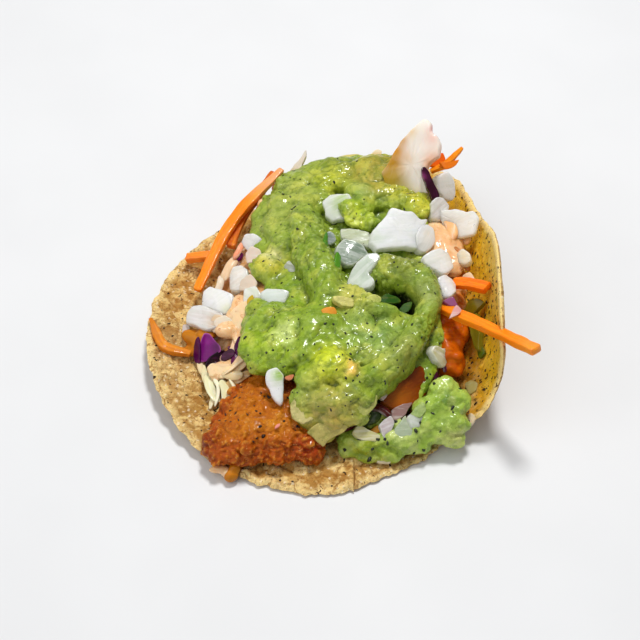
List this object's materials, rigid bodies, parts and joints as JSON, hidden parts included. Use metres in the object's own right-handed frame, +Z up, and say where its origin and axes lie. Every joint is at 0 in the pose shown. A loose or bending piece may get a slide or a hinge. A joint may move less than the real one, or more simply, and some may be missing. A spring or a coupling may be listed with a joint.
{
  "type": "fish taco",
  "caption": "Open fish taco: a corn tortilla with one flap curled up, filled with slaw, fried fish, green salsa, diced onion, carrot and cabbage.",
  "frame": {"origin": "middle of the bounding box's bottom, on the surface that the taco lies on", "axes": "+X across the fold towards the flap that stands up, +Y along the fold to the back, +Z up"},
  "size_m": [0.1412, 0.1597, 0.0541],
  "materials": {
    "tortilla": "matte",
    "fried_fish": "satin",
    "slaw": "gloss",
    "salsa": "gloss",
    "onion": "gloss",
    "carrot": "satin",
    "white_cabbage": "gloss",
    "red_cabbage": "gloss",
    "sweet_pepper": "gloss",
    "green_pepper": "gloss"
  },
  "bodies": {
    "root": {"tortilla": "tortilla", "carrot_01": "carrot", "carrot_02": "carrot", "carrot_03": "carrot", "carrot_04": "carrot", "carrot_05": "carrot", "carrot_06": "carrot", "carrot_07": "carrot", "onion_01": "onion", "onion_02": "onion", "onion_03": "onion", "onion_04": "onion", "onion_05": "onion", "onion_06": "onion", "onion_07": "onion", "onion_08": "onion", "onion_09": "onion", "onion_10": "onion", "onion_11": "onion", "onion_12": "onion", "onion_13": "onion", "onion_14": "onion", "onion_15": "onion", "onion_16": "onion", "onion_17": "onion", "onion_18": "onion", "onion_19": "onion", "onion_20": "onion", "onion_21": "onion", "onion_22": "onion", "onion_23": "onion", "onion_24": "onion", "onion_25": "onion", "onion_26": "onion", "onion_27": "onion", "cabbage_leaf": "white_cabbage", "cabbage_spike": "white_cabbage", "cabbage_fold": "white_cabbage", "red_cabbage_strip": "red_cabbage", "red_cabbage_left": "red_cabbage", "pepper_orange": "sweet_pepper", "pepper_green": "green_pepper", "fried_fish": "fried_fish", "salsa": "salsa", "salsa_dollop": "salsa", "slaw": "slaw"}
  },
  "joints": []
}
